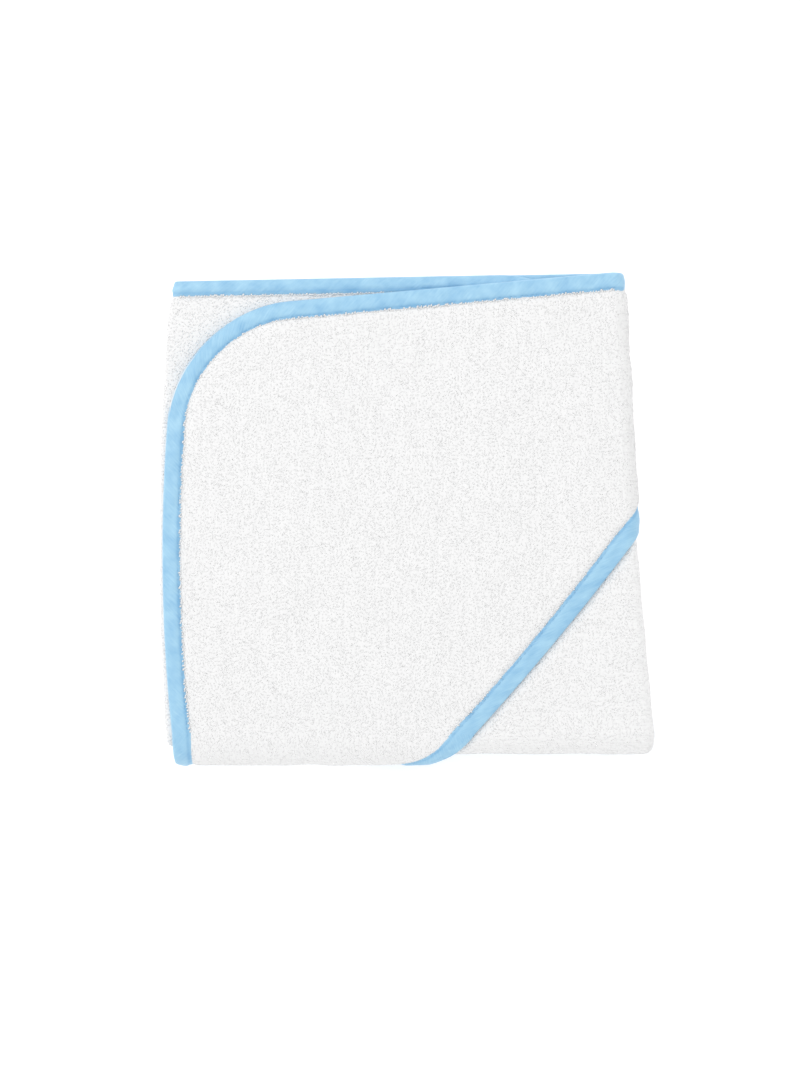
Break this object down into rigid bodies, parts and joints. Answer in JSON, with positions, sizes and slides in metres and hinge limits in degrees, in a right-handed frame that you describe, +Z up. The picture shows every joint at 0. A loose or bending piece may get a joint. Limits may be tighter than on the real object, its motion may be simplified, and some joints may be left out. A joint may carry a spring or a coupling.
{
  "type": "hooded baby towel",
  "caption": "Hooded baby towel of looped cotton terry with a satin bias binding, folded in thirds both ways with its hooded corner on top; two cross folds open.",
  "frame": {"origin": "under the middle of the folded stack, on the surface that it lies on", "axes": "+Z up, +Y from the near cross fold towards the far edge, +X to the right of a person who faces +Y with the hooded corner at the far left"},
  "size_m": [0.262, 0.262, 0.0356],
  "materials": {
    "towel_terry": "looped cotton terry, matt white",
    "hood_terry": "looped cotton terry, matt white",
    "edge_binding": "light blue satin bias tape, soft sheen",
    "hood_binding": "light blue satin bias tape, soft sheen",
    "thread": "light blue sewing thread"
  },
  "bodies": {
    "lower_third": {"far_fold_back_terry": "towel_terry", "far_fold_front_binding": "edge_binding", "far_fold_front_terry": "towel_terry", "far_fold_side_binding": "edge_binding", "far_fold_side_terry": "towel_terry", "lower_edge_binding": "edge_binding", "lower_edge_stitching": "thread", "lower_third_terry": "towel_terry"},
    "middle_third": {"middle_edge_stitching": "thread", "middle_front_binding": "edge_binding", "middle_hood_binding": "hood_binding", "middle_hood_terry": "hood_terry", "middle_side_binding": "edge_binding", "middle_third_terry": "towel_terry", "near_fold_back_terry": "towel_terry", "near_fold_front_binding": "edge_binding", "near_fold_front_terry": "towel_terry", "near_fold_hood_binding": "hood_binding", "near_fold_hood_terry": "hood_terry", "near_fold_side_binding": "edge_binding", "near_fold_side_terry": "towel_terry"},
    "upper_third": {"upper_edge_binding": "edge_binding", "upper_edge_stitching": "thread", "upper_hood_binding": "hood_binding", "upper_hood_stitching": "thread", "upper_hood_terry": "hood_terry", "upper_third_terry": "towel_terry"}
  },
  "joints": [
    {"name": "middle_third_unfold", "type": "hinge", "parent": "lower_third", "child": "middle_third", "pos_m": [0, 0.1134, 0.01045], "axis": [-1, 0, 0], "range_deg": [0, 180], "deforming": ["far_fold_back_terry", "far_fold_front_binding", "far_fold_front_terry", "far_fold_side_binding", "far_fold_side_terry"]},
    {"name": "upper_third_unfold", "type": "hinge", "parent": "middle_third", "child": "upper_third", "pos_m": [0, -0.1134, 0.02245], "axis": [1, 0, 0], "range_deg": [0, 180], "deforming": ["near_fold_back_terry", "near_fold_front_binding", "near_fold_front_terry", "near_fold_hood_binding", "near_fold_hood_terry", "near_fold_side_binding", "near_fold_side_terry"]}
  ]
}
